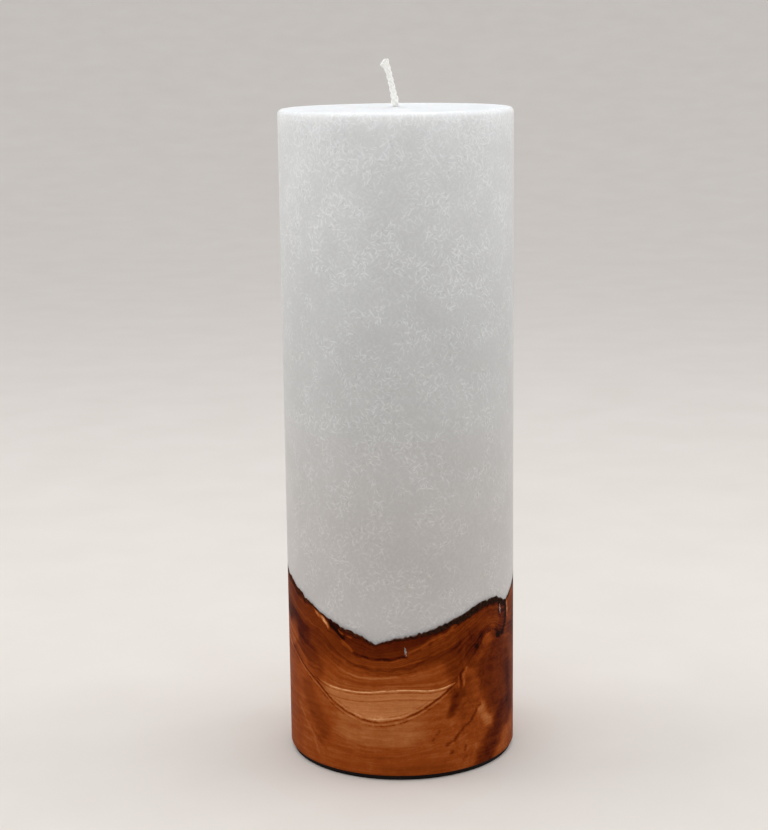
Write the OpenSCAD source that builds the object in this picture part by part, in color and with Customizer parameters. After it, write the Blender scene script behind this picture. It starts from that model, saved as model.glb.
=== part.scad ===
// Pillar candle cast onto a live-edge hardwood foot.
// Origin: centre of the resting face. +Z runs up the candle, -Y is the front.

/* [Candle] */
// Diameter of the candle and of its wooden foot
candle_d = 90; // [80:1:110]
// Height from the table to the wax's top face
candle_h = 254; // [180:1:320]
// Rounding of the wax's top edge
top_edge_r = 2.5; // [1:0.5:5]

/* [Wooden foot] */
// How much higher or lower the whole live edge sits
edge_lift = 0; // [-8:1:20]
// Height of the wood's bare upper surface on the candle's axis
hollow_z = 57; // [52:1:62]
// Rounding of the wood's lower edge
wood_edge_r = 0.8; // [0.4:0.1:2]
// Diameter of the pocket drilled for the wick sustainer
pocket_d = 26; // [24:1:34]
// Height of the pocket's floor above the table
pocket_z = 44; // [30:1:46]

/* [Foot disc] */
// How far the anti-slip disc is set back from the wood's outer wall
disc_inset = 1; // [0.5:0.5:10]
// Thickness of the anti-slip disc
disc_t = 1.8; // [1:0.1:3]

/* [Wick] */
// Diameter of the braided wick
wick_d = 2.1; // [1.5:0.1:3.5]
// Length of the free end, along its curve
free_l = 16.5; // [8:0.5:25]
// Lean of the free end where it leaves the wax, in degrees
lean_root = 8.5; // [0:0.5:20]
// Lean of the free end at its tip, in degrees
lean_tip = 17; // [1:0.5:30]

/* [Wick sustainer] */
// Diameter of the sustainer's disc
tab_d = 20; // [15:1:22]
// Thickness of its sheet metal
tab_t = 0.3; // [0.2:0.05:0.6]
// Height of its crimped neck
neck_h = 10; // [5:1:14]

/* [Hidden] */
$fn = 96;

candle_r = candle_d / 2;
wick_r = wick_d / 2;

// Rim of the wax where it creeps up the wick: height, foot radius and thickness of its lip
collar_h = 1;
collar_r = 2.8;
collar_lip = 0.4;
// The free end turns about its own rounded lower end, just clear of the embedded wick
bend_gap = 0.06;
wick_top = candle_h + collar_h;
bend_z = wick_top + bend_gap + wick_r;
// Radius of the free end's curve
bow_r = free_l / ((lean_tip - lean_root) * PI / 180);

// Fillet between the sustainer's disc and its neck
fillet_h = 1.2;
fillet_w = 2;

// Heights and depths of the cutting tools, which only need to run past what they cut
drum_h = 110;
pocket_h = 50;
below = 10;

// Live edge on the outer wall: degrees from the front, positive towards +X, and the height
// of the bark's upper face there
edge_knots = [
    [-180, 71], [-150, 75], [-118, 79], [-90, 77], [-66, 72], [-45, 65.5], [-28, 59.8],
    [-13, 55.2], [0, 57.8], [20, 61.6], [35, 66], [50, 68], [65, 64.8], [80, 70],
    [110, 77], [145, 69], [180, 71]
];
// Thickness of the bark there
bark_knots = [
    [-180, 1.6], [-120, 1.3], [-60, 1.2], [-25, 1.3], [0, 1.5], [30, 2.4], [50, 2.2],
    [68, 1], [110, 1.5], [180, 1.6]
];

// The two drying cracks that the wax ran into: angle, drop below the live edge, lean, width
// and length
crack_cuts = [[2, 6.2, -8, 0.8, 3.6], [59, 5.2, 3, 0.9, 5]];
crack_depth = 2.5;

// Grid of the live surface: its last ring is outside the outer wall, which trims it, and no
// ring has the wall's own radius
sectors = 90;
grid_r = [for (share = [0.2, 0.4, 0.58, 0.74, 0.87, 0.96, 1.06]) share * candle_r];
blank_r = grid_r[len(grid_r) - 1];

// Smooth closed curve through a list of [angle, value] knots
function slope_at(knots, i) =
    let (n = len(knots) - 1,
         before = i == 0 ? n - 1 : i - 1,
         after = i == n ? 1 : i + 1,
         run_before = i == 0 ? knots[n][0] - knots[n - 1][0] : knots[i][0] - knots[before][0],
         run_after = i == n ? knots[1][0] - knots[0][0] : knots[after][0] - knots[i][0])
    (knots[after][1] - knots[before][1]) / (run_before + run_after);

function span_of(knots, angle, i = 0) =
    (i >= len(knots) - 2 || angle <= knots[i + 1][0]) ? i : span_of(knots, angle, i + 1);

function through(knots, angle) =
    let (i = span_of(knots, angle),
         run = knots[i + 1][0] - knots[i][0],
         t = (angle - knots[i][0]) / run)
    (2 * t ^ 3 - 3 * t ^ 2 + 1) * knots[i][1]
    + (t ^ 3 - 2 * t ^ 2 + t) * run * slope_at(knots, i)
    + (3 * t ^ 2 - 2 * t ^ 3) * knots[i + 1][1]
    + (t ^ 3 - t ^ 2) * run * slope_at(knots, i + 1);

// Height of the live surface: a hollow on the axis that climbs to the edge
function live_z(angle, r) =
    hollow_z + edge_lift
    + (through(edge_knots, angle) - hollow_z) * pow(r / candle_r, 1.7);

function sector_angle(i) = -180 + 360 * i / sectors;

// Ring of points on the live surface, lowered by a share of the bark's thickness
function live_ring(r, bark_share) = [
    for (i = [0 : sectors - 1])
        let (angle = sector_angle(i))
        [r * sin(angle), -r * cos(angle),
         live_z(angle, r) - bark_share * through(bark_knots, angle)]
];

function level_ring(r, z) = [
    for (i = [0 : sectors - 1]) [r * sin(sector_angle(i)), -r * cos(sector_angle(i)), z]
];

// Faces between two rings of one sheet, whose first points are at a and b
function band(a, b, up) = [
    for (i = [0 : sectors - 1])
        let (j = (i + 1) % sectors)
        for (face = up ? [[a + i, b + j, b + i], [a + i, a + j, b + j]]
                       : [[a + i, b + i, b + j], [a + i, b + j, a + j]]) face
];

function fan(tip, a, up) = [
    for (i = [0 : sectors - 1])
        let (j = (i + 1) % sectors) up ? [tip, a + j, a + i] : [tip, a + i, a + j]
];

// Solid between a lower sheet and an upper one, each a list of rings round a middle point
module sheets(lower, lower_mid, upper, upper_mid) {
    n = len(lower);
    m = len(upper);
    top = n * sectors;
    mids = (n + m) * sectors;
    last_low = (n - 1) * sectors;
    last_top = top + (m - 1) * sectors;
    polyhedron(
        points = concat([for (ring = lower) each ring], [for (ring = upper) each ring],
                        [lower_mid, upper_mid]),
        faces = concat(
            fan(mids, 0, false),
            [for (k = [0 : 1 : n - 2]) each band(k * sectors, (k + 1) * sectors, false)],
            band(last_low, last_top, false),
            [for (k = [0 : 1 : m - 2]) each band(top + k * sectors, top + (k + 1) * sectors, true)],
            fan(mids + 1, top, true)
        ),
        convexity = 6
    );
}

function live_sheet(bark_share) = [for (r = grid_r) live_ring(r, bark_share)];

function live_mid(bark_share) =
    [0, 0, hollow_z + edge_lift - bark_share * through(bark_knots, 0)];

// Everything below the live surface, wider than the candle
module live_blank(bark_share) {
    sheets([level_ring(blank_r, -below)], [0, 0, -below],
           live_sheet(bark_share), live_mid(bark_share));
}

// Pocket in the wood that the wax fills, with the sustainer on its floor
module pocket() {
    translate([0, 0, pocket_z]) cylinder(h = pocket_h, d = pocket_d);
}

module cracks() {
    for (cut = crack_cuts)
        rotate([0, 0, cut[0]])
            translate([0, -candle_r, through(edge_knots, cut[0]) + edge_lift - cut[1]])
                rotate([0, cut[2], 0])
                    cube([cut[3], 2 * crack_depth, cut[4]], center = true);
}

module outer_wall() {
    translate([0, 0, -below]) cylinder(h = candle_h, r = candle_r);
}

// Wooden foot before the live edge is cut: a turned drum with a rounded lower edge
module drum() {
    translate([0, 0, disc_t])
        rotate_extrude()
            union() {
                square([candle_r - wood_edge_r, drum_h]);
                translate([0, wood_edge_r]) square([candle_r, drum_h - wood_edge_r]);
                translate([candle_r - wood_edge_r, wood_edge_r]) circle(r = wood_edge_r);
            }
}

module wood_foot() {
    color([0.47, 0.24, 0.1])
        difference() {
            intersection() {
                drum();
                live_blank(1);
            }
            pocket();
            cracks();
        }
}

module bark() {
    color([0.13, 0.06, 0.03])
        difference() {
            intersection() {
                outer_wall();
                sheets(live_sheet(1), live_mid(1), live_sheet(0), live_mid(0));
            }
            pocket();
        }
}

// Full-height pillar with its rounded top edge
module pillar() {
    rotate_extrude()
        union() {
            square([candle_r - top_edge_r, candle_h]);
            square([candle_r, candle_h - top_edge_r]);
            translate([candle_r - top_edge_r, candle_h - top_edge_r]) circle(r = top_edge_r);
        }
}

module wax_pillar() {
    color([0.83, 0.82, 0.8])
        difference() {
            union() {
                pillar();
                translate([0, 0, candle_h])
                    cylinder(h = collar_h, r1 = collar_r, r2 = wick_r + collar_lip);
            }
            difference() {
                live_blank(0);
                pocket();
            }
            translate([0, 0, -below]) cylinder(h = pocket_z + below, r = candle_r);
            sustainer_shape();
            wick_bore();
        }
}

module crack_fill() {
    color([0.83, 0.82, 0.8])
        intersection() {
            cracks();
            outer_wall();
        }
}

// Space that the wick takes from the pocket's floor to the top of the wax
module wick_bore() {
    translate([0, 0, pocket_z]) cylinder(h = candle_h, r = wick_r);
}

module wick() {
    color([0.95, 0.94, 0.9])
        translate([0, 0, pocket_z]) cylinder(h = wick_top - pocket_z, r = wick_r);
}

// Free end of the wick: rounded where it turns, then bowed towards -X
module wick_end() {
    color([0.95, 0.94, 0.9])
        translate([0, 0, bend_z]) {
            sphere(r = wick_r);
            rotate([0, -lean_root, 0])
                translate([-bow_r, 0, 0])
                    rotate([90, 0, 0])
                        rotate_extrude(angle = lean_tip - lean_root)
                            translate([bow_r, 0]) circle(r = wick_r);
        }
}

// Outline of the sustainer without its hole: a pressed disc, a fillet cone and a neck
module sustainer_shape() {
    translate([0, 0, pocket_z]) {
        cylinder(h = tab_t, d = tab_d);
        cylinder(h = fillet_h, r1 = wick_r + fillet_w, r2 = wick_r + tab_t);
        cylinder(h = neck_h, r = wick_r + tab_t);
    }
}

module wick_sustainer() {
    color([0.72, 0.72, 0.7])
        difference() {
            sustainer_shape();
            wick_bore();
        }
}

module foot_disc() {
    color([0.06, 0.05, 0.05]) cylinder(h = disc_t, r = candle_r - disc_inset);
}

wood_foot();
bark();
wax_pillar();
crack_fill();
wick();
wick_end();
wick_sustainer();
foot_disc();
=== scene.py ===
"""Pillar candle of crystalline wax, cast onto a foot of live-edge hardwood."""
from math import cos, pi, radians, sin

import bpy
import numpy as np
from mathutils import Matrix, Vector


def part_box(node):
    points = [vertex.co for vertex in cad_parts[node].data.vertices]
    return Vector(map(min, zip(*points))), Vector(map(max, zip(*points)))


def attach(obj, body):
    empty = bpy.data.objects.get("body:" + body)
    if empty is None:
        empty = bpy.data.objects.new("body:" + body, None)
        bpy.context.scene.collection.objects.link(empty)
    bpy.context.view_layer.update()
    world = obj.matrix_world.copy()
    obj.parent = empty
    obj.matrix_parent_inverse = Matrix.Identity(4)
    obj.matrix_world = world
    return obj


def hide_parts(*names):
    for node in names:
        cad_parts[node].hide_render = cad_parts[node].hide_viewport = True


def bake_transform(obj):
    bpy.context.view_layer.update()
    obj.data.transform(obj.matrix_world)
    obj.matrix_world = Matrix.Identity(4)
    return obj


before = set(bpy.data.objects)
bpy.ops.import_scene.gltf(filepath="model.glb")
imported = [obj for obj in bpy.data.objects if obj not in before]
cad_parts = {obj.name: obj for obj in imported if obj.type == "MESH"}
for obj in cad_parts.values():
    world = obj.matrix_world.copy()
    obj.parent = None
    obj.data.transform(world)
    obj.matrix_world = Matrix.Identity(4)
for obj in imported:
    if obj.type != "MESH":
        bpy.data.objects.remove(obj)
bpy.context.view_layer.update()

MM = 0.001

# ---------------------------------------------------------------- sizes, in millimetres
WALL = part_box("wax_pillar")[1][0] / MM
POCKET_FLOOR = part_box("wax_pillar")[0][2] / MM
POCKET_R = 13.0
POCKET_MID = 50.0
COLLAR_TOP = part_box("wax_pillar")[1][2] / MM
COLLAR_H = 1.0
WAX_TOP = COLLAR_TOP - COLLAR_H
DISC_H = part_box("foot_disc")[1][2] / MM
DISC_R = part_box("foot_disc")[1][0] / MM
WICK_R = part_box("wick")[1][0] / MM
BEND_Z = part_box("wick_end")[0][2] / MM + WICK_R
FREE_LENGTH = 16.5
TURNS = 720

# Where along the wick it starts to lean, how many degrees its root turns and over what length,
# and the same for the slight bow above the root
LEAN_START = -2.0
ROOT_LEAN, ROOT_RUN = 11, 3.5
BOW_START, BOW_LEAN, BOW_RUN = 1.5, 4, 15

# The live surface rises from its hollow on the axis to the live edge on the outer wall
HOLLOW_Z = 57.0
PLAIN_EDGE_Z = 66.0
LIVE_POWER = 1.7
# Above this height the wax isn't pulled along with the live edge
CALM_Z = 130.0

# Live edge and bark on the outer wall: degrees from the front, positive towards +X
EDGE = [
    (-180, 71), (-150, 75), (-118, 79), (-90, 77), (-78, 74.4), (-66, 71.8), (-54, 68),
    (-45, 65), (-36, 62), (-28, 59.7), (-20, 58), (-13.5, 54.9), (-8, 56.3), (0, 57.6),
    (10, 59.3), (20, 61.6), (32, 64.9), (42, 67.5), (51, 68.1), (59, 66.6), (65, 64.7),
    (72, 66.8), (80, 70), (110, 77), (145, 69), (180, 71),
]
BARK = [
    (-180, 1.6), (-120, 1.3), (-78, 1.7), (-66, 2.2), (-56, 1.9), (-49, 0.9), (-45, 0.5),
    (-39, 0.45), (-34, 0.8), (-28, 1.4), (-21, 1.3), (-16, 0.8), (-8, 0.7), (0, 1), (12, 1.6),
    (22, 2.3), (34, 3), (48, 2.6), (59, 2.3), (66, 0.7), (75, 0.6), (85, 1.3), (110, 1.5),
    (145, 1.9), (180, 1.6),
]
# Lines of the wood's figure on the wall: the bottom of the pale lens, its top, and the edge of
# the dark wood under the bark
BOWL = [
    (-180, 27), (-150, 24), (-120, 38), (-95, 50), (-80, 48), (-66, 43.8), (-52, 38), (-45, 35),
    (-36, 30), (-25, 25.8), (-17, 24.1), (-10, 23.9), (-2, 24.9), (4, 26.4), (12, 29.6),
    (20, 33.6), (28, 38.2), (34, 43.5), (41, 49), (47, 54), (53, 54.4), (61, 51), (72, 49),
    (90, 42), (115, 34), (145, 30), (180, 27),
]
LENS = [
    (-180, 20), (-90, 30), (-60, 37), (-48, 38.3), (-42, 36.7), (-35, 35.8), (-25, 35.4),
    (-15, 35.8), (-5, 36.8), (5, 36.9), (13, 36.3), (20, 36.6), (27, 38), (33, 38), (60, 34),
    (120, 24), (180, 20),
]
DARK_LAYER = [
    (-180, 60), (-150, 68), (-120, 78), (-90, 78), (-60, 71), (-42, 63), (-38, 59.6), (-32, 55),
    (-24, 50.7), (-18, 49), (-10, 48.5), (-2, 49), (8, 51.9), (16, 55), (24, 58.2), (32, 62),
    (40, 67), (60, 69), (90, 74), (120, 74), (150, 62), (180, 60),
]

# ---------------------------------------------------------------- camera and light


def place_camera():
    """Looks down a little at the candle, with the slight turn and tilt of a hand-set tripod."""
    pitch, turn, tilt = 0.2029, -0.008, -0.0125
    stand = (0, -0.72543, 0.28377)
    ahead = Vector((sin(turn) * cos(pitch), cos(turn) * cos(pitch), -sin(pitch)))
    right = Vector((cos(turn), -sin(turn), 0))
    up = right.cross(ahead)
    level = Matrix((right, up, -ahead)).transposed()
    data = bpy.data.cameras.new("camera")
    data.sensor_width = 36
    data.lens = 81.64
    camera = bpy.data.objects.new("camera", data)
    bpy.context.collection.objects.link(camera)
    camera.matrix_world = (
        Matrix.Translation(stand)
        @ (level @ Matrix.Rotation(tilt, 3, "Z")).to_4x4()
    )
    bpy.context.scene.camera = camera


def add_light(name, place, aim, size, power):
    """One rectangular soft box, pointing from place to aim."""
    data = bpy.data.lights.new(name, "AREA")
    data.shape = "RECTANGLE"
    data.size, data.size_y = size
    data.energy = power
    light = bpy.data.objects.new(name, data)
    bpy.context.collection.objects.link(light)
    place, aim = Vector(place), Vector(aim)
    light.rotation_euler = (aim - place).to_track_quat("-Z", "Y").to_euler()
    light.location = place


def light_studio():
    """Even daylight tent: bright all round, with soft boxes at the sides, above and in front."""
    middle = (0, 0, 0.13)
    add_light("left_box", (-1.0, 0.1, 0.8), middle, (0.7, 0.8), 2.7)
    add_light("right_box", (1.0, 0.1, 0.8), middle, (0.7, 0.8), 2.6)
    add_light("top_box", (0, 0.1, 0.75), (0, 0, 0.2), (0.6, 0.5), 1.25)
    add_light("front_fill", (-0.2, -1.4, 0.9), middle, (0.9, 0.7), 2.3)
    sky = bpy.data.lights.new("sky", "SUN")
    sky.energy = 0.8
    sky.angle = radians(100)
    bpy.context.collection.objects.link(bpy.data.objects.new("sky", sky))
    world = bpy.data.worlds.new("studio")
    world.use_nodes = True
    air = world.node_tree.nodes["Background"]
    air.inputs["Color"].default_value = (0.93, 0.95, 1, 1)
    air.inputs["Strength"].default_value = 0.52
    scene = bpy.context.scene
    scene.world = world
    scene.view_settings.view_transform = "Standard"


# ---------------------------------------------------------------- shader helpers


def srgb(red, green, blue):
    """Linear colour of an 8-bit colour as the eye sees it."""
    steps = [channel / 255 for channel in (red, green, blue)]
    return tuple(s / 12.92 if s <= 0.04045 else ((s + 0.055) / 1.055) ** 2.4 for s in steps) + (1,)


class Wire:
    """One output socket. Arithmetic on it adds Math nodes."""

    def __init__(self, finish, socket):
        self.finish, self.socket = finish, socket

    def math(self, operation, *others):
        return self.finish.math(operation, self, *others)

    def __add__(self, other):
        return self.math("ADD", other)

    __radd__ = __add__

    def __mul__(self, other):
        return self.math("MULTIPLY", other)

    def __sub__(self, other):
        return self.math("SUBTRACT", other)

    def __rsub__(self, other):
        return self.finish.math("SUBTRACT", other, self)

    def __abs__(self):
        return self.math("ABSOLUTE")


class Finish:
    """A material under construction, with its Principled shader as self.skin."""

    def __init__(self, name, sockets):
        self.material = bpy.data.materials.new(name)
        self.material.use_nodes = True
        self.tree = self.material.node_tree
        self.skin = self.tree.nodes["Principled BSDF"]
        for key, value in sockets.items():
            self.skin.inputs[key].default_value = value

    def node(self, kind, settings=None, inputs=None, output=0):
        node = self.tree.nodes.new("ShaderNode" + kind)
        for key, value in (settings or {}).items():
            if key == "stops":
                self.set_stops(node.color_ramp, value)
            else:
                setattr(node, key, value)
        for key, value in (inputs or {}).items():
            self.feed(node.inputs[key], value)
        return Wire(self, node.outputs[output])

    def feed(self, socket, value):
        if isinstance(value, Wire):
            self.tree.links.new(value.socket, socket)
        else:
            socket.default_value = value

    @staticmethod
    def set_stops(ramp, stops):
        while len(ramp.elements) < len(stops):
            ramp.elements.new(0.5)
        for element, (place, colour) in zip(ramp.elements, stops):
            element.position, element.color = place, colour

    def math(self, operation, *values):
        return self.node("Math", {"operation": operation}, dict(enumerate(values)))

    def vector_math(self, operation, *values, output=0):
        return self.node("VectorMath", {"operation": operation}, dict(enumerate(values)), output)

    def scaled(self, vector, factor):
        return self.node("VectorMath", {"operation": "SCALE"}, {0: vector, "Scale": factor})

    def mix(self, factor, first, second):
        return self.node(
            "Mix", {"data_type": "RGBA"}, {0: factor, 6: first, 7: second}, output=2
        )

    def place(self):
        """Object coordinates in millimetres."""
        spot = self.node("TexCoord", output="Object")
        return self.scaled(spot, 1 / MM)

    def split(self, vector):
        parts = self.node("SeparateXYZ", inputs={0: vector})
        outputs = parts.socket.node.outputs
        return [Wire(self, outputs[axis]) for axis in "XYZ"]

    def joined(self, x, y, z):
        return self.node("CombineXYZ", inputs={0: x, 1: y, 2: z})

    def attribute(self, name):
        return self.node("Attribute", {"attribute_name": name}, output="Fac")

    def noise(self, vector, scale, detail=3, roughness=0.5, distortion=0):
        return self.node(
            "TexNoise",
            inputs={
                "Vector": vector, "Scale": scale, "Detail": detail,
                "Roughness": roughness, "Distortion": distortion,
            },
        )

    def rise(self, value, low, high):
        """0 below low, 1 above high, smooth between. low may be the larger one."""
        return self.node(
            "MapRange", {"interpolation_type": "SMOOTHSTEP"},
            {"Value": value, "From Min": low, "From Max": high},
        )

    def line(self, distance, width):
        """1 on the line where distance is 0, falling to 0 at width."""
        return self.rise(abs(distance), width, 0)

    def ramp(self, value, stops):
        return self.node("ValToRGB", {"stops": stops}, {0: value})

    def bump(self, height, distance, strength=1.0):
        normal = self.node(
            "Bump", inputs={"Height": height, "Distance": distance * MM, "Strength": strength}
        )
        self.feed(self.skin.inputs["Normal"], normal)

    def paint(self, socket, value):
        self.feed(self.skin.inputs[socket], value)


# ---------------------------------------------------------------- materials


def needles(finish, spot, normal, cell, width, length, shift):
    """Short straight crystals lying in the surface, one to a cell, each turned its own way."""
    spread = finish.scaled(spot, 1 / cell)
    here = finish.vector_math("ADD", spread, shift)
    cells = finish.node(
        "TexVoronoi", {"voronoi_dimensions": "3D"}, {"Vector": here, "Scale": 1}, "Position"
    )
    chance = Wire(finish, cells.socket.node.outputs["Color"])
    free = finish.vector_math("SUBTRACT", chance, (0.5, 0.5, 0.5))
    lift = finish.scaled(normal, finish.vector_math("DOT_PRODUCT", free, normal, output="Value"))
    heading = finish.vector_math("NORMALIZE", finish.vector_math("SUBTRACT", free, lift))
    off = finish.vector_math("SUBTRACT", here, cells)
    depth = finish.scaled(normal, finish.vector_math("DOT_PRODUCT", off, normal, output="Value"))
    flat = finish.vector_math("SUBTRACT", off, depth)
    along = finish.vector_math("DOT_PRODUCT", flat, heading, output="Value")
    foot = finish.scaled(heading, along)
    gap = finish.vector_math("SUBTRACT", flat, foot)
    across = finish.vector_math("LENGTH", gap, output="Value")
    return finish.line(across, width / cell) * finish.line(along, length / cell)


def wax_finish():
    """Hard white wax, frosted all through with fine feathery crystals."""
    finish = Finish("stearin_wax", {
        "IOR": 1.44,
        "Subsurface Weight": 0.8,
        "Subsurface Scale": 0.009,
        "Subsurface Radius": (1.0, 0.95, 0.88),
    })
    spot = finish.place()
    z = finish.split(spot)[2]
    normal = finish.node("NewGeometry", output="Normal")
    frost = needles(finish, spot, normal, 4.2, 0.46, 2.3, (0, 0, 0))
    smaller = [(3.1, 0.38, 1.7, (7.3, 2.1, 5.5)), (2.3, 0.32, 1.3, (3.7, 9.2, 1.4))]
    for crystal in smaller:
        frost = frost.math("MAXIMUM", needles(finish, spot, normal, *crystal))
    gaps = needles(finish, spot, normal, 3.5, 0.4, 1.2, (1.9, 4.4, 8.8))
    patches = finish.rise(finish.noise(spot, 0.12, 2), 0.38, 0.62)
    clouds = finish.rise(finish.noise(spot, 0.06, 3, 0.6), 0.3, 0.7)
    grit = finish.noise(spot, 1.1, 2, 0.6)
    # Painted bounce light: the wax turns warmer towards the foot, as light reflected up from the
    # floor and the wood would tint it.
    warm_bounce_near_foot = finish.rise(z, 170, 80)
    crystals = frost * (patches * 0.7 + 0.3)
    # Painted light, partly real: the wax is made paler towards the top, for light falling from
    # above and for the denser frost there.
    top_light_and_frost = finish.rise(z, 150, 252)
    pale = crystals * 0.4 - gaps * patches * 0.26 + clouds * 0.12 + (grit - 0.5) * 0.3
    pale = pale + top_light_and_frost * 0.44 + 0.26
    white = finish.ramp(pale, [
        (0.0, srgb(190, 191, 190)),
        (0.5, srgb(211, 213, 213)),
        (1.0, srgb(235, 238, 239)),
    ])
    # The painted warm bounce light is multiplied into the white near the foot.
    bounce_tint = {0: warm_bounce_near_foot, 6: white, 7: srgb(246, 240, 237)}
    blend = {"data_type": "RGBA", "blend_type": "MULTIPLY"}
    finish.paint("Base Color", finish.node("Mix", blend, bounce_tint, output=2))
    finish.paint("Roughness", 0.4 + crystals * 0.2 + (grit - 0.5) * 0.1)
    finish.bump(crystals + grit * 0.5, 0.06, 0.5)
    return finish.material


def wood_finish():
    """Oiled hardwood: red-brown layers that follow the live edge, a pale lens, dark inclusions."""
    finish = Finish("oiled_hardwood", {"Specular IOR Level": 0.015})
    spot = finish.place()
    x, y, z = finish.split(spot)
    wobble = finish.noise(spot, 0.16, 3) - 0.5
    ripple = finish.noise(spot, 0.7, 2) - 0.5
    layer = finish.attribute("rings") + wobble * 1.6 + ripple * 0.35
    over_bowl = finish.attribute("over_bowl") + wobble * 0.9 + ripple * 0.5
    under_lens = finish.attribute("under_lens") + wobble * 0.6 + ripple * 0.2
    grain = finish.attribute("grain")
    bands = finish.noise(finish.joined(x * 0.012, y * 0.012, layer * 0.32), 1, 2, 0.55)
    streaks = finish.noise(finish.joined(x * 0.03, y * 0.03, layer * 1.3), 1, 4, 0.6)
    pores = finish.noise(finish.joined(x * 0.35, y * 0.35, layer * 5.0), 1, 3, 0.6)
    mottle = finish.noise(spot, 0.22, 4, 0.65)

    in_bowl = finish.rise(over_bowl, -0.3, 0.3)
    in_lens = in_bowl * finish.rise(under_lens, -0.15, 0.25)
    speck = finish.noise(spot, 1.3, 3, 0.7)
    tone = finish.attribute("tone") + (mottle - 0.5) * 0.22 + (pores - 0.5) * 0.16
    tone = tone + ((bands - 0.5) * 0.5 + (streaks - 0.5) * 0.8) * grain + (speck - 0.5) * 0.12
    level = finish.noise(finish.joined(x * 0.025, y * 0.025, z * 0.55), 1, 4, 0.65)
    tone = tone + (level - 0.5) * (1 - in_bowl) * 0.3
    tone = tone + in_lens * finish.attribute("lens_line") * 0.24
    burr = finish.noise(spot, 0.17, 5, 0.7, 1.2)
    tone = tone + (burr - 0.5) * finish.rise(x, 8, 26) * finish.rise(y, 10, -5) * 0.5
    broken = finish.rise(finish.noise(spot, 0.3, 3, 0.7), 0.34, 0.6)
    rim = finish.line(over_bowl, 0.8) * (broken * 0.26 + 0.14)
    rim = rim + finish.line(over_bowl - 1.5, 0.5) * (1 - broken) * 0.2
    rim = rim + finish.line(over_bowl + 1.9, 0.5) * (1 - broken) * 0.3
    rim = rim - finish.line(over_bowl + 1.2, 0.7) * broken * 0.14
    tone = tone - rim * finish.attribute("bowl_line")
    edge = finish.line(under_lens - 0.3, 0.5) * (broken * 0.14 + 0.1)
    tone = tone + edge * in_bowl * finish.attribute("lens_line")
    tone = tone - finish.line(under_lens - 1.25, 0.45) * in_bowl * (broken * 0.14 + 0.1)
    tone = tone - finish.line(under_lens - 4.1, 0.4) * in_bowl * 0.16

    finish.paint("Base Color", finish.ramp(tone, [
        (0.0, srgb(26, 8, 3)),
        (0.15, srgb(78, 23, 5)),
        (0.35, srgb(110, 45, 9)),
        (0.55, srgb(145, 67, 21)),
        (0.72, srgb(167, 96, 49)),
        (0.88, srgb(191, 121, 73)),
        (1.0, srgb(226, 166, 116)),
    ]))
    finish.paint("Roughness", 0.52 - tone * 0.1 + (pores - 0.5) * 0.12)
    finish.bump(streaks * 0.5 + pores * 0.5, 0.04, 0.35)
    return finish.material


def bark_finish():
    """Nearly black dry bark with brown and tan flecks."""
    finish = Finish("bark", {"Specular IOR Level": 0.03})
    spot = finish.place()
    x = finish.split(spot)[0]
    flakes = finish.noise(spot, 0.9, 4, 0.65)
    flecks = finish.rise(finish.noise(spot, 0.5, 3, 0.6), 0.6, 0.75)
    black = finish.mix(finish.rise(flakes, 0.3, 0.75), srgb(15, 8, 5), srgb(56, 31, 18))
    brown = finish.mix(finish.rise(flakes, 0.3, 0.75), srgb(44, 14, 5), srgb(88, 40, 16))
    dark = finish.mix(finish.rise(x, 16, -10), black, brown)
    dark = finish.mix(flecks * 0.4, dark, srgb(104, 56, 26))
    feather = finish.noise(spot, 0.8, 2, 0.6) - 0.5
    film = finish.rise(0.6 + feather * 0.9 - finish.attribute("under_wax") * 0.8, 0.2, 0.75)
    finish.paint("Base Color", finish.mix(film * 0.75, dark, srgb(160, 148, 140)))
    finish.paint("Roughness", 0.72 + flakes * 0.25)
    finish.bump(flakes, 0.4, 0.7)
    return finish.material


def wick_finish():
    """Bleached cotton yarn, soaked in wax."""
    finish = Finish("waxed_cotton", {
        "Subsurface Weight": 0.3,
        "Subsurface Scale": 0.0015,
        "Subsurface Radius": (1.0, 0.95, 0.85),
    })
    spot = finish.place()
    x, y, z = finish.split(spot)
    fibres = finish.noise(finish.joined(x * 6, y * 6, z * 1.5), 1, 3, 0.6)
    film = finish.rise(finish.noise(spot, 0.7, 2), 0.42, 0.62)
    cotton = finish.mix(fibres, srgb(240, 237, 229), srgb(255, 254, 250))
    finish.paint("Base Color", finish.mix(film * 0.5, cotton, srgb(250, 250, 247)))
    finish.paint("Roughness", 0.68 - film * 0.25)
    finish.bump(fibres, 0.04, 0.6)
    return finish.material


def rubber_finish():
    """Matt black sheet rubber with a fine pebbled face."""
    finish = Finish("sheet_rubber", {"Specular IOR Level": 0.2})
    spot = finish.place()
    pebbles = finish.noise(spot, 2.2, 3, 0.6)
    dust = finish.rise(finish.noise(spot, 0.12, 3), 0.5, 0.8)
    black = finish.mix(pebbles, srgb(8, 5, 4), srgb(22, 16, 13))
    finish.paint("Base Color", finish.mix(dust * 0.2, black, srgb(56, 48, 42)))
    finish.paint("Roughness", 0.72 + pebbles * 0.2)
    finish.bump(pebbles, 0.08, 0.6)
    return finish.material


def tinned_finish():
    """Pressed tinplate with rolling marks and dull spots."""
    finish = Finish("tinplate", {"Metallic": 1.0})
    spot = finish.place()
    x, y, z = finish.split(spot)
    marks = finish.noise(finish.joined(x * 0.4, y * 6, z * 0.4), 1, 3)
    spots = finish.noise(spot, 0.35, 3)
    finish.paint("Base Color", finish.mix(spots, srgb(186, 186, 182), srgb(222, 221, 216)))
    finish.paint("Roughness", 0.24 + marks * 0.15 + spots * 0.12)
    finish.bump(marks, 0.02, 0.4)
    return finish.material


def floor_finish():
    """Pale matt paper."""
    finish = Finish("pale_paper", {"Roughness": 0.9})
    spot = finish.place()
    fibres = finish.noise(spot, 0.02, 4)
    finish.paint("Base Color", finish.mix(fibres, srgb(219, 212, 204), srgb(227, 221, 214)))
    return finish.material


# ---------------------------------------------------------------- shapes round the axis


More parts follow.
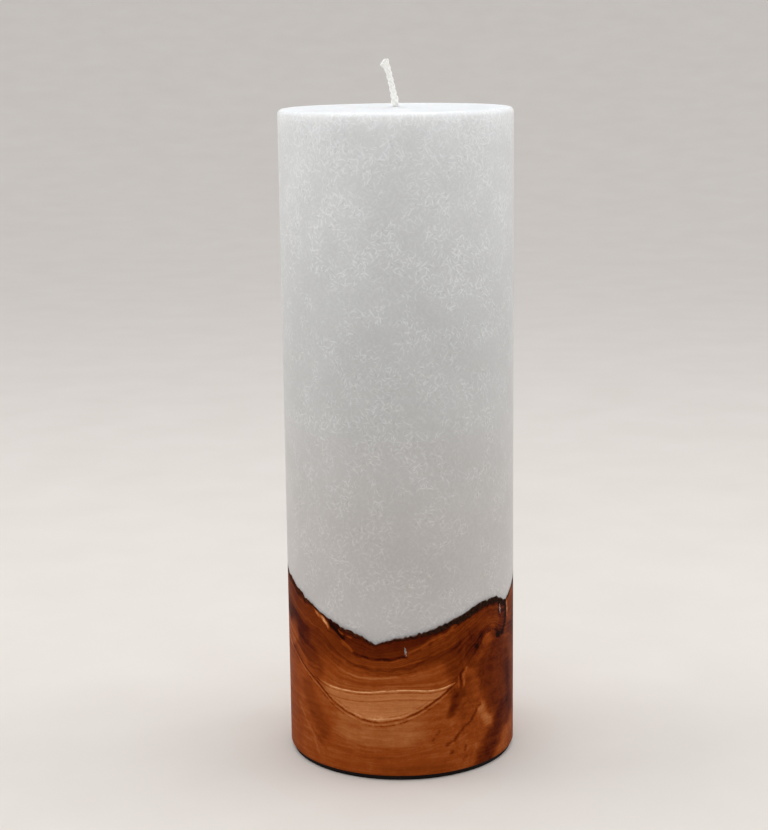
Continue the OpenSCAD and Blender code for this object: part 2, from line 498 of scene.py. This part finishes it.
def closed_curve(knots):
    """Smooth curve through (degrees, value) knots, closed round the candle."""
    angles, values = np.array(knots, float).T
    before = np.append(angles[-2] - 360, angles[:-1])
    after = np.append(angles[1:], angles[1] + 360)
    below = np.append(values[-2], values[:-1])
    above = np.append(values[1:], values[1])
    slopes = (above - below) / (after - before)

    def at(angle):
        i = np.clip(np.searchsorted(angles, angle, side="right") - 1, 0, len(angles) - 2)
        run = angles[i + 1] - angles[i]
        t = (angle - angles[i]) / run
        return (
            (2 * t**3 - 3 * t**2 + 1) * values[i]
            + (t**3 - 2 * t**2 + t) * run * slopes[i]
            + (3 * t**2 - 2 * t**3) * values[i + 1]
            + (t**3 - t**2) * run * slopes[i + 1]
        )

    return at


def ragged(angle, size, coarsest, finest, seed, calm=0.7):
    """Small irregular waves round the candle, closed at the back. Size is their typical height."""
    chance = np.random.default_rng(seed)
    total = np.zeros_like(angle)
    power = 0
    for waves in range(coarsest, finest):
        height = (coarsest / waves) ** calm
        total += height * np.sin(np.radians(angle) * waves + chance.uniform(0, 2 * pi))
        power += height**2 / 2
    return size * total / np.sqrt(power)


def wander(points, size, scale, seed):
    """Smooth random drift in space, for lines that shouldn't look ruled."""
    waves = 10
    chance = np.random.default_rng(seed)
    total = np.zeros(len(points))
    for _ in range(waves):
        way = chance.normal(size=3)
        way *= chance.uniform(0.6, 1.6) * 2 * pi / scale / np.linalg.norm(way)
        total += np.sin(points @ way + chance.uniform(0, 2 * pi))
    return size * total / np.sqrt(waves / 2)


edge_at = closed_curve(EDGE)
bark_at = closed_curve(BARK)
bowl_at = closed_curve(BOWL)
lens_at = closed_curve(LENS)
dark_at = closed_curve(DARK_LAYER)


def bark_thickness(angle):
    torn = ragged(angle, 0.17, 14, 120, 5)
    return np.maximum(bark_at(angle) + torn, 0.12)


def live_surface(angle, radius):
    """Height of the bark's upper face, which is the wax's lower one."""
    share = radius / WALL
    rough = ragged(angle, 0.2, 20, 190, 3, 0.8) * share**6
    return HOLLOW_Z + (edge_at(angle) - HOLLOW_Z) * share**LIVE_POWER + rough


def plain_surface(radius):
    """The same height before the live edge is shaped."""
    return HOLLOW_Z + (PLAIN_EDGE_Z - HOLLOW_Z) * (radius / WALL) ** LIVE_POWER


def points_of(piece):
    """A piece's points in millimetres."""
    flat = np.empty(len(piece.data.vertices) * 3)
    piece.data.vertices.foreach_get("co", flat)
    return flat.reshape(-1, 3) / MM


def move_points(piece, points):
    piece.data.vertices.foreach_set("co", (points * MM).ravel())
    piece.data.update()


def round_the_axis(points):
    """Degrees from the front and distance from the axis."""
    x, y = points[:, 0], points[:, 1]
    return np.degrees(np.arctan2(x, -y)), np.hypot(x, y)


def shape_live_edge(piece, surface):
    """Pulls the plain surface to the live one, and all between the pocket and calm wax with it."""
    points = points_of(piece)
    angle, radius = round_the_axis(points)
    plain = plain_surface(radius)
    z = points[:, 2]
    share = np.where(
        z <= plain, (z - POCKET_FLOOR) / (plain - POCKET_FLOOR), (CALM_Z - z) / (CALM_Z - plain)
    )
    points[:, 2] = z + (surface(angle, radius) - plain) * np.clip(share, 0, 1)
    move_points(piece, points)


def pick(*chosen):
    """Selects these objects alone, and makes the first the active one."""
    bpy.ops.object.select_all(action="DESELECT")
    for piece in chosen:
        piece.select_set(True)
    bpy.context.view_layer.objects.active = chosen[0]


def remember(piece, name, values):
    """Stores one value per point, for the piece's material."""
    store = piece.data.attributes.new(name, "FLOAT", "POINT")
    store.data.foreach_set("value", values.astype(np.float32))


def turned(name, profile, turns=TURNS):
    """Draws a profile of (radius, height) points and spins it round the candle's axis."""
    bpy.ops.object.select_all(action="DESELECT")
    radius, height = profile[0]
    bpy.ops.mesh.primitive_plane_add(size=MM, location=(radius * MM, 0, height * MM))
    piece = bpy.context.object
    piece.name = name
    bpy.ops.object.transform_apply()
    bpy.ops.object.mode_set(mode="EDIT")
    bpy.ops.mesh.merge(type="CENTER")
    for next_radius, next_height in profile[1:]:
        step = ((next_radius - radius) * MM, 0, (next_height - height) * MM)
        bpy.ops.mesh.extrude_region_move(TRANSFORM_OT_translate={"value": step})
        radius, height = next_radius, next_height
    slices = 24
    slice_angle = 2 * pi / slices
    bpy.ops.mesh.select_all(action="SELECT")
    bpy.ops.mesh.spin(steps=turns // slices, angle=slice_angle, center=(0, 0, 0), axis=(0, 0, 1))
    bpy.ops.mesh.select_all(action="SELECT")
    bpy.ops.mesh.spin(
        steps=slices - 1, angle=2 * pi - slice_angle, dupli=True,
        center=(0, 0, 0), axis=(0, 0, 1),
    )
    bpy.ops.mesh.select_all(action="SELECT")
    bpy.ops.mesh.remove_doubles(threshold=MM * 1e-3)
    bpy.ops.mesh.normals_make_consistent(inside=False)
    bpy.ops.object.mode_set(mode="OBJECT")
    return piece


def rounded(middle, radius, start, stop, steps):
    """Points of an arc of a profile, in degrees from straight out towards the top."""
    return [
        (middle[0] + radius * cos(radians(a)), middle[1] + radius * sin(radians(a)))
        for a in np.linspace(start, stop, steps)
    ]


def rows(low, high, step):
    """Even heights from low to high, without the ends."""
    count = max(round((high - low) / step), 1)
    return list(np.linspace(low, high, count + 1)[1:-1])


def ride_with(piece, body, slot, finish, *nodes):
    """Finishes a piece: smooth shading, its material, its body, and the CAD nodes it stands for."""
    pick(piece)
    bpy.ops.object.shade_smooth_by_angle(angle=radians(40))
    piece.data.materials.clear()
    piece.data.materials.append(finish)
    if nodes:
        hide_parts(*nodes)
    if body:
        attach(piece, body)


# ---------------------------------------------------------------- the wood's figure


def stroke(angle, z, course, width, soft):
    """1 within width of a brush stroke through (degrees, height) points, fading out over soft."""
    start = course[0][0]
    along = np.radians(start + (angle - start + 180) % 360 - 180) * WALL
    nearest = np.full_like(along, 1e9)
    spots = [(radians(a) * WALL, h) for a, h in course]
    for (u0, z0), (u1, z1) in zip(spots, spots[1:]):
        du, dz = u1 - u0, z1 - z0
        t = np.clip(((along - u0) * du + (z - z0) * dz) / (du * du + dz * dz), 0, 1)
        nearest = np.minimum(nearest, np.hypot(along - u0 - t * du, z - z0 - t * dz))
    t = np.clip((width + soft - nearest) / soft, 0, 1)
    return t * t * (3 - 2 * t)


# What darkens (below 0) or lightens the plain layers: depth, width, softness and course
STROKES = [
    # left: pale burr, dark heart wood, diagonal bands
    (0.2, 3.0, 2.4, [(-80, 52), (-73, 49.5), (-68.5, 52.5)]),
    (-0.1, 1.2, 2.5, [(-78, 59), (-63, 58)]),
    (-0.16, 2.4, 3.4, [(-57.5, 53.5), (-56, 49), (-50, 44.5), (-47, 42)]),
    (-0.13, 2, 4, [(-54, 31), (-49, 24), (-43, 17)]),
    (0.07, 0.3, 0.9, [(-64, 24), (-57, 18), (-51, 14), (-46, 7)]),
    (-0.1, 0.3, 0.9, [(-52, 16), (-45, 12), (-41, 10)]),
    # tan sliver and flecks under the bark
    (0.4, 0.45, 0.6, [(-46, 64), (-42, 61.9), (-38, 60.1)]),
    (0.14, 0.3, 0.6, [(-50, 65.4), (-46, 64)]),
    (-0.19, 1.2, 1.3, [(-36.4, 59.4), (-33, 58), (-30.5, 56.6)]),
    (-0.1, 0.4, 0.8, [(-36.8, 60.2), (-33, 57.6), (-30.5, 55.6)]),
    (0.5, 0.2, 0.5, [(-31.5, 58.7), (-29.5, 58)]),
    (0.3, 0.15, 0.4, [(-26.5, 57), (-25, 56.6)]),
    # edge of the dark layer: pale on both flanks, dark in the middle
    (0.26, 0.2, 0.7, [(-43, 62.6), (-37, 59), (-30, 54.8), (-24.5, 51)]),
    (-0.16, 0.2, 0.6, [(-24, 50.4), (-20, 49.2), (-14, 48.6), (-6, 48.7), (3, 49.8)]),
    (0.24, 0.2, 0.8, [(3, 50.8), (8, 52.6), (15, 55.6), (22, 58.4), (28, 60.8)]),
    (-0.12, 0.2, 0.7, [(-27, 46.5), (-20, 45), (-12, 44.2), (-4, 44.4), (5, 46), (14, 49.5)]),
    (-0.12, 0.2, 0.7, [(-18, 43), (-8, 42.6), (0, 43), (6, 44)]),
    # right: bark folded into the wood, and the shadow that runs down from it
    (-0.25, 0.55, 0.9, [(64, 65.5), (65.3, 61), (64.9, 56), (62, 52.3), (58.5, 51.2), (56, 52.6)]),
    (-0.17, 1.9, 2.4, [(62, 62), (61.5, 57), (58.5, 54)]),
    (-0.13, 0.6, 1.4, [(56, 52.2), (52, 54.4), (47, 55.6), (43.5, 54.3)]),
    (-0.05, 0.6, 1.4, [(43.5, 54.3), (42.6, 51), (40.5, 47.6), (35, 44)]),
    (0.08, 2.0, 2.5, [(47, 51), (45.5, 47)]),
    (-0.06, 3, 6, [(38, 52), (31, 46)]),
    (0.2, 0.25, 0.5, [(33.8, 43), (32.2, 40.5), (33, 38.2), (31.6, 36.2)]),
    (-0.2, 0.2, 0.6, [(31.6, 42), (30.4, 39.8), (31, 37.6), (29.8, 35.6)]),
    (0.16, 0.2, 0.5, [(29.6, 40), (28.8, 38), (29, 36)]),
    (0.2, 3.2, 3, [(74, 63), (71.5, 59)]),
    (0.45, 0.25, 0.5, [(67.4, 64.5), (67.2, 57.5)]),
    (-0.31, 6.5, 8.5, [(53.5, 41.5), (59, 31)]),
    (-0.13, 6, 7, [(80, 54), (76, 34)]),
    (-0.14, 3.4, 5, [(30, 35), (33, 28)]),
    (-0.14, 0.6, 1.8, [(27.5, 33), (25.5, 29), (24, 25)]),
    (-0.14, 0.8, 1.8, [(31, 33), (27.5, 30), (25.5, 26)]),
    (-0.26, 0.15, 0.8, [(42, 27), (39, 24), (35, 20.6), (31, 18.6), (27, 15.4), (22, 13.4)]),
    (-0.2, 0.1, 0.7, [(18.8, 19.6), (18, 18.4)]),
    (-0.18, 0.1, 0.6, [(16.6, 16.8), (15.6, 15.4)]),
    (-0.2, 0.3, 0.7, [(25.8, 9.8), (25, 9.2)]),
    (-0.2, 0.2, 0.6, [(33.8, 11.6), (32.6, 10)]),
    (-0.12, 0.3, 0.8, [(34, 7), (31, 5.4)]),
    (0.17, 0.6, 2.8, [(43.5, 25.5), (45.8, 21.5), (50.5, 17)]),
    (-0.29, 3.0, 4.4, [(72, 20), (62, 17.5), (56, 15), (51, 10), (46, 4)]),
    (-0.07, 1.4, 2.4, [(57, 17), (51.5, 9), (49, 5)]),
    (0.04, 2.4, 3, [(76, 12), (69, 9), (62, 4)]),
    (0.05, 3, 5, [(-30, 21), (-12, 18), (8, 21)]),
    (0.08, 4, 6, [(-25, 21), (0, 21)]),
    (-0.07, 1.5, 5, [(-8, 3), (18, 4)]),
    (-0.13, 2.6, 4.5, [(39, 51.5), (34, 48), (27, 44.5)]),
    # painted shade: both flanks are made a shade darker than the front, where they turn from the
    # light
    (-0.06, 9, 9, [(-78, 66), (-78, 4)]),
    (-0.08, 9, 8, [(84, 66), (84, 4)]),
    # back: a healed knot and two seams
    (-0.3, 2, 4, [(150, 42), (156, 36)]),
    (-0.25, 0.4, 1, [(128, 52), (140, 46), (150, 42), (162, 33), (172, 22)]),
    (0.16, 1.5, 3, [(-168, 50), (-150, 40), (-138, 24)]),
    (-0.2, 0.3, 0.9, [(-96, 40), (-110, 26), (-122, 10)]),
]


def mark_figure(piece):
    """Stores on the wood's points how they lie to the lines of the figure, and their tone."""
    points = points_of(piece)
    angle, radius = round_the_axis(points)
    z = points[:, 2]
    top = live_surface(angle, radius) - bark_thickness(angle)
    bowl = bowl_at(angle)
    lens = lens_at(angle)
    dark = np.minimum(dark_at(angle), top)
    floor_line = np.maximum(bowl, lens)
    # Rings are counted upwards. The zones are the dark layer, the middle, the lens, and the wood
    # under it. Each squeezes its rings between its lines, but the lens's rings only lean with
    # its top.
    under_rings, middle_ring, dark_ring, last_ring = 24, 32, 46, 70
    zone_rings, thinnest = 14, 0.5
    lens_follow, lens_level, lens_offset = 0.6, 36, 4
    upper = dark_ring + zone_rings * (z - dark) / np.maximum(top - dark, thinnest)
    middle = middle_ring + zone_rings * (z - floor_line) / np.maximum(dark - floor_line, thinnest)
    inside = z - lens_follow * (lens - lens_level) - lens_offset
    lower = under_rings * z / bowl
    zones = [z > dark, z > floor_line, z > bowl]
    rings = np.select(zones, [np.minimum(upper, last_ring), middle, inside], lower)
    grain = np.select(zones, [0.4, 0.75, 0.28], 0.24)
    middle_tone = np.clip(0.59 - 0.023 * (z - 41), 0.36, 0.58)
    dark_tone, plain_tone, bark_stain, stain_depth = 0.23, 0.56, 0.2, 0.8
    tone = np.select(zones, [dark_tone, middle_tone, plain_tone], plain_tone)
    tone = tone - bark_stain * np.exp(-np.maximum(top - z, 0) / stain_depth)
    faded = np.minimum(np.abs(angle - 32), np.abs(angle + 80)) / 10
    bowl_line = np.where((angle > -80) & (angle < 32), np.clip(faded, 0, 1), 0)
    lens_line = np.clip((angle + 46) / 9, 0, 1)
    drift = wander(points, 0.35, 9, 21) + wander(points, 0.2, 3.5, 22)
    lift = wander(points, 0.3, 9, 23) + wander(points, 0.18, 3.5, 24)
    # The strokes' tone includes the painted shade on both flanks.
    for depth, width, soft, course in STROKES:
        tone += depth * stroke(angle + drift, z + lift, course, width, soft)
    fields = {
        "rings": rings, "grain": grain, "tone": tone,
        "over_bowl": z - bowl, "under_lens": lens - z, "bowl_line": bowl_line,
        "lens_line": lens_line,
    }
    for name, values in fields.items():
        remember(piece, name, values)


# ---------------------------------------------------------------- pieces


def surface_stations():
    """Distances from the axis at which the live surface gets a ring, from the pocket out."""
    return [POCKET_R, 17, 21, 25, 29, 33, 36, 39, 41.5, 43.2, 44.4, WALL]


def cut_away(piece, cutter):
    """Takes the cutter's space out of the piece."""
    pick(piece)
    cut = piece.modifiers.new("cut", "BOOLEAN")
    cut.operation = "DIFFERENCE"
    cut.solver = "EXACT"
    cut.object = cutter
    bpy.ops.object.modifier_apply(modifier=cut.name)


def sliver(name, angle, height, lean, width, length):
    """Wax that filled one drying crack: a thin blade, pointed at both ends, set into the wall."""
    depth = 2.2
    bpy.ops.object.select_all(action="DESELECT")
    bpy.ops.mesh.primitive_cylinder_add(vertices=24, radius=0.5 * MM, depth=depth * MM)
    piece = bpy.context.object
    piece.name = name
    bpy.ops.object.mode_set(mode="EDIT")
    bpy.ops.mesh.select_all(action="SELECT")
    bpy.ops.transform.resize(value=(width, length, 1))
    bpy.ops.object.mode_set(mode="OBJECT")
    for vertex in piece.data.vertices:
        x, y, z = vertex.co / MM
        end = abs(y) / (length / 2)
        wave = 0.16 * sin(5.3 * y + 2)
        vertex.co = Vector((x * (1 - 0.6 * end) + wave, y, z)) * MM
    outward = Matrix.Rotation(pi / 2, 4, "X")
    set_in = Matrix.Translation((0, -(WALL - depth / 2 + 0.02) * MM, height * MM))
    turn = Matrix.Rotation(radians(angle), 4, "Z")
    piece.data.transform(turn @ set_in @ Matrix.Rotation(radians(lean), 4, "Y") @ outward)
    return piece


def build_slivers(finish):
    """Both wax-filled drying cracks, as one piece."""
    first = sliver("crack_wax", 2, 52, -8, 0.75, 3.7)
    second = sliver("crack_wax_right", 58.8, 62, -6, 0.7, 4.6)
    pick(first, second)
    bpy.ops.object.join()
    ride_with(first, "candle", "wax", finish, "crack_fill")
    return first


def build_wood(finish, slivers):
    """Turned foot: rounded lower edge, wall, live surface, and the pocket for the sustainer."""
    edge_r = 0.8
    wall_step = 0.7
    low = DISC_H + edge_r
    profile = [(0, DISC_H), (15, DISC_H), (30, DISC_H), (40, DISC_H)]
    profile += rounded((WALL - edge_r, low), edge_r, -90, 0, 6)
    profile += [(WALL, z) for z in rows(low, PLAIN_EDGE_Z, wall_step)]
    profile += [(r, plain_surface(r)) for r in reversed(surface_stations())]
    profile += [(POCKET_R, POCKET_MID), (POCKET_R, POCKET_FLOOR)]
    profile += [(7, POCKET_FLOOR), (0, POCKET_FLOOR)]
    wood = turned("hardwood_foot", profile)
    shape_live_edge(wood, lambda angle, r: live_surface(angle, r) - bark_thickness(angle))
    cut_away(wood, slivers)
    mark_figure(wood)
    ride_with(wood, "candle", "wood", finish, "wood_foot")


def build_bark(finish):
    """Thin bark over the whole live surface, a little sunk and broken where it meets the wall."""
    layer = 1.0
    stations = surface_stations()
    profile = [(r, plain_surface(r) - layer) for r in stations]
    profile += [(WALL, plain_surface(WALL) - layer * share) for share in (0.8, 0.6, 0.4, 0.2)]
    profile += [(r, plain_surface(r)) for r in reversed(stations)]
    profile.append(profile[0])
    bark = turned("bark_layer", profile)
    points = points_of(bark)
    angle, radius = round_the_axis(points)
    height = (points[:, 2] - plain_surface(radius)) / layer + 1
    points[:, 2] = live_surface(angle, radius) - (1 - height) * bark_thickness(angle)
    sunk = 0.12 + ragged(angle + height * 40, 0.08, 40, 160, 8)
    on_wall = (radius > WALL - 0.01) & (height > 0.1) & (height < 0.9)
    sunk = np.where(on_wall, np.maximum(sunk, 0), 0)
    points[:, :2] *= (1 - sunk / WALL)[:, None]
    move_points(bark, points)
    remember(bark, "under_wax", (1 - height) * bark_thickness(angle))
    ride_with(bark, "candle", "bark", finish, "bark")


def build_wax(finish):
    """Cast pillar: plug in the pocket, live surface, wall, rounded top edge and wick collar."""
    top_r = 2.0
    tab_r, tab_thickness, neck_height = 10.0, 0.3, 10
    neck_r, neck_top = WICK_R + tab_thickness, POCKET_FLOOR + neck_height
    tab_top = POCKET_FLOOR + tab_thickness
    lip_r = WICK_R + 0.4
    near_step, calm_step = 2.4, 8
    shoulder = (WALL - top_r, WAX_TOP - top_r)
    profile = [(neck_r, neck_top), (neck_r, tab_top), (tab_r, tab_top)]
    profile += [(tab_r, POCKET_FLOOR), (POCKET_R, POCKET_FLOOR), (POCKET_R, POCKET_MID)]
    profile += [(r, plain_surface(r)) for r in surface_stations()]
    profile += [(WALL, z) for z in rows(PLAIN_EDGE_Z, CALM_Z, near_step)]
    profile += [(WALL, z) for z in rows(CALM_Z - 6, shoulder[1], calm_step)]
    profile += rounded(shoulder, top_r, 0, 90, 12)
    profile += [(r, WAX_TOP) for r in (39, 34, 28, 22, 16, 11, 8)]
    creep = [(5, 0.02), (4, 0.06), (3.2, 0.12), (2.6, 0.2), (2.1, 0.3), (1.75, 0.4)]
    profile += [(r, WAX_TOP + height) for r, height in creep]
    profile += [(lip_r, WAX_TOP + 0.47), (lip_r - 0.15, WAX_TOP + 0.5), (WICK_R, WAX_TOP + 0.4)]
    profile += [(WICK_R, 200), (WICK_R, 120), (WICK_R, neck_top)]
    profile.append(profile[0])
    wax = turned("wax_pillar_body", profile)
    shape_live_edge(wax, live_surface)
    points = points_of(wax)
    angle, radius = round_the_axis(points)
    z = points[:, 2]
    rim_drop, rim_reach = 1.2, 2.4
    near_rim = np.clip(1 - np.abs(z - WAX_TOP + rim_drop) / rim_reach, 0, 1)
    near_rim = near_rim * (radius > WALL - top_r - 1)
    dents = (ragged(angle, 0.16, 5, 90, 11) - 0.08) * near_rim
    points[:, :2] *= (1 + np.minimum(dents, 0) / WALL)[:, None]
    swell, collar_foot = 0.12, 5
    on_top = (z > WAX_TOP - 0.01) & (radius > collar_foot)
    cast = swell * np.sin(points[:, 0] / 9 + 1) * np.sin(points[:, 1] / 7)
    points[:, 2] = np.where(on_top, z - swell + cast, z)
    move_points(wax, points)
    ride_with(wax, "candle", "wax", finish, "wax_pillar")


def wick_route(s):
    """Point and heading of the wick's middle, s millimetres above its bend."""
    spot = Vector((0, 0, BEND_Z + min(s, LEAN_START)))
    heading = Vector((0, 0, 1))
    step = 0.25
    steps = max(int((s - LEAN_START) / step), 0)
    for i in range(steps):
        up = LEAN_START + (i + 0.5) * (s - LEAN_START) / steps
        root = ROOT_LEAN * min((up - LEAN_START) / ROOT_RUN, 1)
        lean = radians(root + BOW_LEAN * max(up - BOW_START, 0) / BOW_RUN)
        heading = Vector((-sin(lean), 0, cos(lean)))
        spot += heading * ((s - LEAN_START) / steps)
    return spot, heading


def strand(name, way, number, low, high, step):
    """One yarn of a round braid of six: three wind each way, over and under each other.

    A yarn whose way is 0 runs straight up the middle.
    """
    pitch, ring, sway, yarn_r = 7.2, 0.7, 0.07, 0.56
    in_bore, freed, swollen_ring, swollen_yarn = 0.83, 0.17, 0.34, 0.15
    count = round((high - low) / step)
    data = bpy.data.curves.new(name, "CURVE")
    data.dimensions = "3D"
    data.bevel_depth = yarn_r * MM
    data.bevel_resolution = 2
    data.use_fill_caps = True
    spline = data.splines.new("POLY")
    spline.points.add(count)
    for i, point in enumerate(spline.points):
        s = low + (high - low) * i / count
        above = min(max((s + 2.2) / 1.4, 0), 1)
        thick = in_bore + freed * above
        root = above * max(0, 1 - abs(s - 0.3) / 3)
        turn = way * 2 * pi * s / pitch + 2 * pi * number / 3
        out = abs(way) * (ring + way * sway * cos(6 * pi * s / pitch)) * thick
        out *= 1 + swollen_ring * root
        middle, heading = wick_route(s)
        side = Vector((0, 1, 0))
        other = heading.cross(side)
        spot = middle + side * (out * sin(turn)) + other * (out * cos(turn))
        point.co = (*(spot * MM), 1)
        point.radius = thick * (1 + swollen_yarn * root)
    piece = bpy.data.objects.new(name, data)
    bpy.context.collection.objects.link(piece)
    return piece


def braid(name, low, high, step):
    """Six yarns round a seventh, made one mesh."""
    yarns = [strand(name + "_heart", 0, 0, low, high, step)]
    for way in (1, -1):
        for number in range(3):
            yarns.append(strand(f"{name}_{way}_{number}", way, number, low, high, step))
    pick(*yarns)
    bpy.ops.object.convert(target="MESH")
    bpy.ops.object.join()
    piece = bpy.context.object
    piece.name = name
    return piece


def fuse(piece, grain, rounds):
    """Makes a piece one closed skin, as wax film does, and smooths it."""
    pick(piece)
    film = piece.modifiers.new("wax_film", "REMESH")
    film.mode = "VOXEL"
    film.voxel_size = grain * MM
    soften = piece.modifiers.new("soften", "SMOOTH")
    soften.factor = 0.5
    soften.iterations = rounds
    bpy.ops.object.modifier_apply(modifier="wax_film")
    bpy.ops.object.modifier_apply(modifier="soften")


def fray(piece):
    """Spreads the wick's tip to its left, where the cutter dragged it."""
    first, run, drag, most = 11.2, 3, 1.15, 1.3
    points = points_of(piece)
    spots = np.array([wick_route(s)[0] for s in np.linspace(-5, 18, 93)])
    middle = np.interp(points[:, 2], spots[:, 2], spots[:, 0])
    start = wick_route(first)[0].z
    rise = np.clip((points[:, 2] - start) / run, 0, most)
    left = np.clip((middle - points[:, 0]) / WICK_R, 0, 1.2)
    points[:, 0] -= drag * rise**1.6 * left
    move_points(piece, points)


def snip(piece, spot, facing):
    """Cuts a piece's tip off with one flat cut, and closes the face."""
    pick(piece)
    bpy.ops.object.mode_set(mode="EDIT")
    bpy.ops.mesh.select_all(action="SELECT")
    bpy.ops.mesh.bisect(plane_co=spot * MM, plane_no=facing, use_fill=True, clear_outer=True)
    bpy.ops.object.mode_set(mode="OBJECT")


def build_wick(finish):
    """The braid inside the wax, and the free end, which leans and is cut off at its tip."""
    core_foot, core_top = POCKET_FLOOR + 0.4 - BEND_Z, -4
    core = braid("wick_core", core_foot, core_top, 0.6)
    ride_with(core, "candle", "wick_cotton", finish, "wick")
    # The free end starts inside the core's top, and the cuts take off what it has to spare
    overlap, spare = 0.4, 0.9
    end = braid("wick_free_end", core_top - overlap, FREE_LENGTH + spare, 0.22)
    fuse(end, 0.11, 26)
    fray(end)
    tip = wick_route(FREE_LENGTH)[0]
    snip(end, tip, (-0.12, 0.1, 1))
    snip(end, tip - Vector((0.35, 0, 0)), (-1.0, -0.2, 0.7))
    fuse(end, 0.1, 3)
    ride_with(end, None, "wick_cotton", finish, "wick_end")
    bottom, top = wick_route(-1.1)[0] * MM, wick_route(1.6)[0] * MM
    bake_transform(end)


def build_disc(finish):
    """Anti-slip disc with rounded rims."""
    rim, upper_rim = 0.45, 0.2
    profile = [(0, 0), (14, 0), (28, 0), (38, 0)]
    profile += rounded((DISC_R - rim, rim), rim, -90, 0, 5)
    profile += rounded((DISC_R - upper_rim, DISC_H - upper_rim), upper_rim, 0, 90, 4)
    profile += [(38, DISC_H), (28, DISC_H), (14, DISC_H), (0, DISC_H)]
    disc = turned("rubber_disc", profile, 360)
    ride_with(disc, "candle", "rubber", finish, "foot_disc")


def finish_sustainer(finish):
    """The sustainer keeps its CAD shape."""
    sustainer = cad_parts["wick_sustainer"]
    for place in sustainer.material_slots:
        place.material = finish


def build_floor(finish):
    """Round pale floor whose rim sweeps up into the backdrop on every side."""
    flat_r, sweep_r = 1400, 4000
    profile = [(0, 0), (400, 0), (800, 0), (flat_r, 0)]
    profile += rounded((flat_r, sweep_r), sweep_r, -90, -40, 24)
    floor = turned("studio_floor", profile, 96)
    pick(floor)
    bpy.ops.object.shade_smooth()
    bpy.ops.object.mode_set(mode="EDIT")
    bpy.ops.mesh.select_all(action="SELECT")
    bpy.ops.mesh.flip_normals()
    bpy.ops.object.mode_set(mode="OBJECT")
    floor.data.materials.append(finish)


place_camera()
light_studio()
wax = wax_finish()
slivers = build_slivers(wax)
build_wood(wood_finish(), slivers)
build_bark(bark_finish())
build_wax(wax)
build_wick(wick_finish())
build_disc(rubber_finish())
finish_sustainer(tinned_finish())
build_floor(floor_finish())
